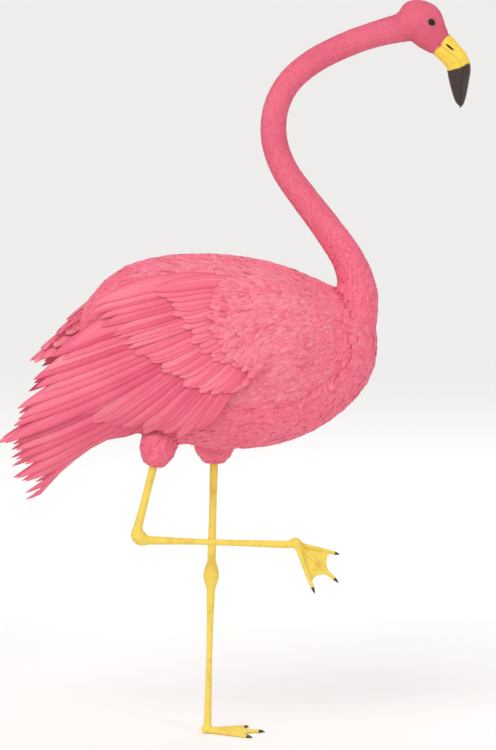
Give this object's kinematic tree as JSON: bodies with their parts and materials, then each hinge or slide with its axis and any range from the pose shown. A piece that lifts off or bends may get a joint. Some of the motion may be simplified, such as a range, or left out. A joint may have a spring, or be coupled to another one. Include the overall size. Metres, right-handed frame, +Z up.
{
  "type": "flamingo",
  "caption": "Life-size still model of a pink flamingo on one leg, the other leg drawn up level, with an S-shaped neck and a bent yellow bill with a dark tip.",
  "frame": {"origin": "middle of the bounding box at floor level, under the body and close to the standing foot", "axes": "+X the way the bird faces, +Y its left side, +Z up"},
  "size_m": [0.704, 0.2112, 1.1069],
  "materials": {
    "plumage": "matte feathers",
    "bill": "satin horn",
    "bill_tip": "satin dark horn",
    "leg_skin": "scaly skin",
    "claw": "satin dark horn",
    "eye": "wet and glossy"
  },
  "bodies": {
    "root": {"torso": "plumage", "tail": "plumage", "head": "plumage", "neck_1": "plumage", "neck_2": "plumage", "neck_3": "plumage", "neck_4": "plumage", "neck_5": "plumage", "wing_left": "plumage", "wing_right": "plumage", "thigh_left": "plumage", "thigh_right": "plumage", "bill_upper": "bill", "bill_lower": "bill", "bill_upper_tip": "bill_tip", "bill_lower_tip": "bill_tip", "eye_left": "eye", "eye_right": "eye", "tibia_left": "leg_skin", "tibia_right": "leg_skin", "hock_left": "leg_skin", "hock_right": "leg_skin", "tarsus_left": "leg_skin", "tarsus_right": "leg_skin", "foot_left": "leg_skin", "foot_right": "leg_skin", "claw_left_inner": "claw", "claw_left_middle": "claw", "claw_left_outer": "claw", "claw_right_inner": "claw", "claw_right_middle": "claw", "claw_right_outer": "claw"}
  },
  "joints": []
}
